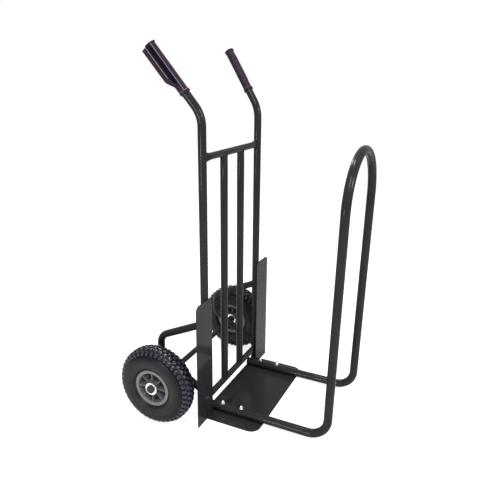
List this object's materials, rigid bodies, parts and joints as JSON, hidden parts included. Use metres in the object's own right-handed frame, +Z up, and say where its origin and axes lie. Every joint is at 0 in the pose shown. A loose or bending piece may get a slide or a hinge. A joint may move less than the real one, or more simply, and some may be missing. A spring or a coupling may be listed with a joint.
{
  "type": "fireside log cart",
  "caption": "Hand truck for firewood: steel tube frame with guarded grips, toe plate, bent tube log hoop and a pair of air-filled wheels on a fixed axle.",
  "frame": {"origin": "On the floor, in the middle of the whole cart's box: the underside of the toe plate and the tyres' lowest points are at Z 0.", "axes": "+X across the cart to the left of the person who holds the handles, +Y back to the wheels and handles, +Z up."},
  "size_m": [0.6694, 0.7134, 1.211],
  "materials": {
    "frame_paint": "semi-gloss black powder coat",
    "zinc": "bright zinc-plated steel",
    "tyre_rubber": "matt black rubber",
    "rim_plastic": "satin dark grey moulded plastic",
    "bush_nylon": "natural nylon",
    "valve_brass": "plain brass",
    "trim_plastic": "matt black plastic",
    "grip_plastic": "fine-grained black plastic with a warm cast"
  },
  "bodies": {
    "root": {"left_upright": "frame_paint", "right_upright": "frame_paint", "top_crossbar": "frame_paint", "foot_crossbar": "frame_paint", "left_slat": "frame_paint", "right_slat": "frame_paint", "left_wheel_guard": "frame_paint", "right_wheel_guard": "frame_paint", "toe_plate": "frame_paint", "left_axle_bracket": "frame_paint", "right_axle_bracket": "frame_paint", "axle": "frame_paint", "axle_collars": "frame_paint", "inner_washers": "zinc", "outer_washers": "zinc", "axle_caps": "trim_plastic", "log_hoop": "frame_paint", "hoop_end_plugs": "trim_plastic", "hoop_screws": "zinc", "hoop_washers": "zinc", "hoop_nuts": "zinc", "left_grip": "grip_plastic", "right_grip": "grip_plastic"},
    "wheel_left": {"left_tyre": "tyre_rubber", "left_inner_tube": "tyre_rubber", "left_rim": "rim_plastic", "left_hub_bushes": "bush_nylon", "left_valve": "valve_brass", "left_valve_cap": "trim_plastic"},
    "wheel_right": {"right_tyre": "tyre_rubber", "right_inner_tube": "tyre_rubber", "right_rim": "rim_plastic", "right_hub_bushes": "bush_nylon", "right_valve": "valve_brass", "right_valve_cap": "trim_plastic"}
  },
  "joints": [
    {"name": "left_wheel_spin", "type": "hinge", "parent": "root", "child": "wheel_left", "pos_m": [0.291, 0.22178, 0.135], "axis": [1, 0, 0], "continuous": true},
    {"name": "right_wheel_spin", "type": "hinge", "parent": "root", "child": "wheel_right", "pos_m": [-0.291, 0.22178, 0.135], "axis": [1, 0, 0], "continuous": true}
  ]
}
